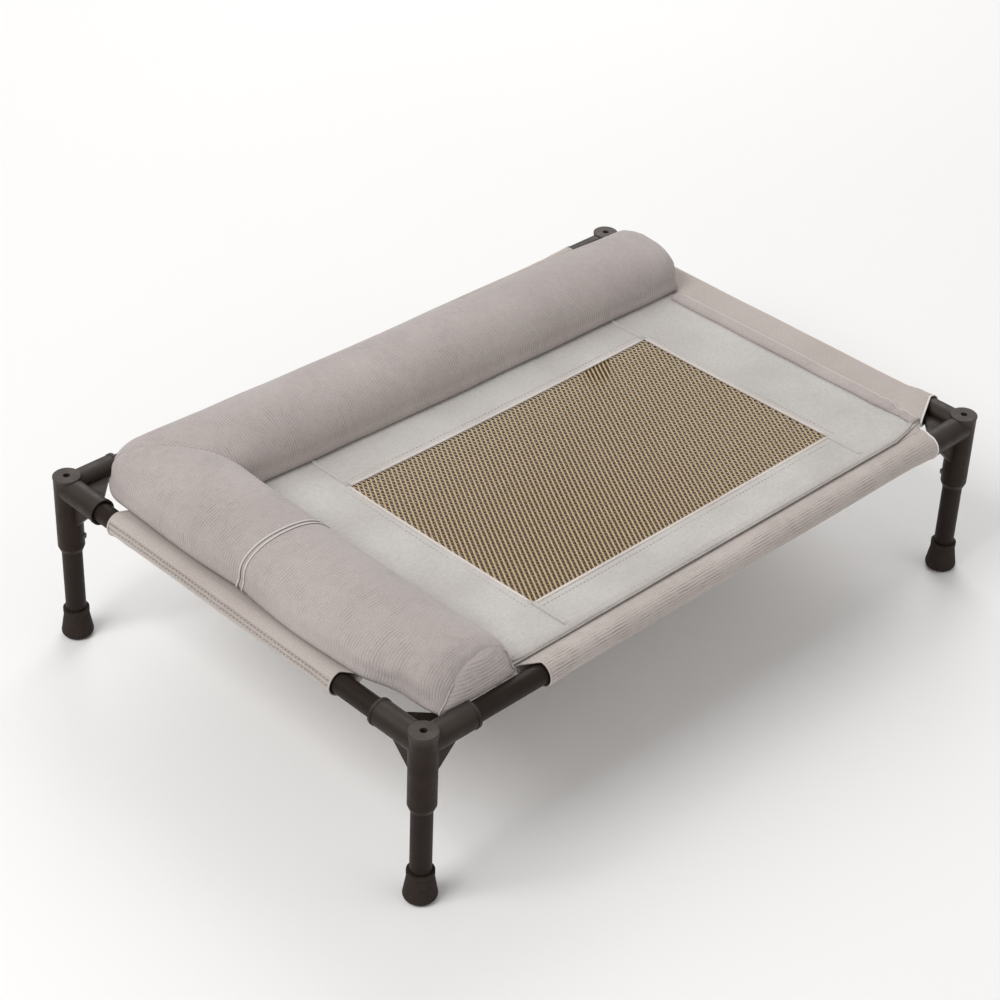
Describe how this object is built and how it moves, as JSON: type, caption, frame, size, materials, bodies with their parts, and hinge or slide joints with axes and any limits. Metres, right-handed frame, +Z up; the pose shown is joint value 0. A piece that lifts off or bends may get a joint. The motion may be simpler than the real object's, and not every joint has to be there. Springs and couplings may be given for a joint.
{
  "type": "raised dog cot",
  "caption": "Raised pet cot: tube frame on moulded corner fittings, cloth sling with a mesh window, and an L-shaped bolster that lifts off.",
  "frame": {"origin": "on the floor under the middle of the frame", "axes": "+X along the cot, away from the bolster's short arm; +Y from the open side to the bolster's long arm; +Z up"},
  "size_m": [0.73, 0.505, 0.2199],
  "materials": {
    "fitting_plastic": "fine moulded satin",
    "tube_steel": "satin black powder coat",
    "foot_rubber": "matte",
    "screw_steel": "dark zinc",
    "sleeve_cloth": "fine ribbed corduroy",
    "border_cloth": "smooth brushed cloth",
    "mesh_cloth": "open woven mesh",
    "bolster_cloth": "fine ribbed corduroy",
    "filling": "fibre filling",
    "tab_cloth": "hook and loop tape"
  },
  "bodies": {
    "frame": {"fitting_front_left": "fitting_plastic", "leg_front_left": "tube_steel", "foot_front_left": "foot_rubber", "fitting_front_right": "fitting_plastic", "leg_front_right": "tube_steel", "foot_front_right": "foot_rubber", "fitting_back_left": "fitting_plastic", "leg_back_left": "tube_steel", "foot_back_left": "foot_rubber", "fitting_back_right": "fitting_plastic", "leg_back_right": "tube_steel", "foot_back_right": "foot_rubber", "rail_front": "tube_steel", "sleeve_front": "sleeve_cloth", "border_front": "border_cloth", "rail_back": "tube_steel", "sleeve_back": "sleeve_cloth", "border_back": "border_cloth", "rail_left": "tube_steel", "sleeve_left": "sleeve_cloth", "border_left": "border_cloth", "rail_right": "tube_steel", "sleeve_right": "sleeve_cloth", "border_right": "border_cloth", "rail_screws": "screw_steel", "leg_screws": "screw_steel", "mesh_panel": "mesh_cloth", "window_binding": "border_cloth", "sling_welt": "sleeve_cloth", "loop_tabs": "tab_cloth"},
    "bolster": {"bolster_cover_left": "bolster_cloth", "bolster_cover_back": "bolster_cloth", "bolster_filling_left": "filling", "bolster_filling_back": "filling", "hook_tabs": "tab_cloth"}
  },
  "joints": [
    {"name": "bolster_lift", "type": "slide", "parent": "frame", "child": "bolster", "axis": [0, 0, 1], "range_m": [0, 0.15]}
  ]
}
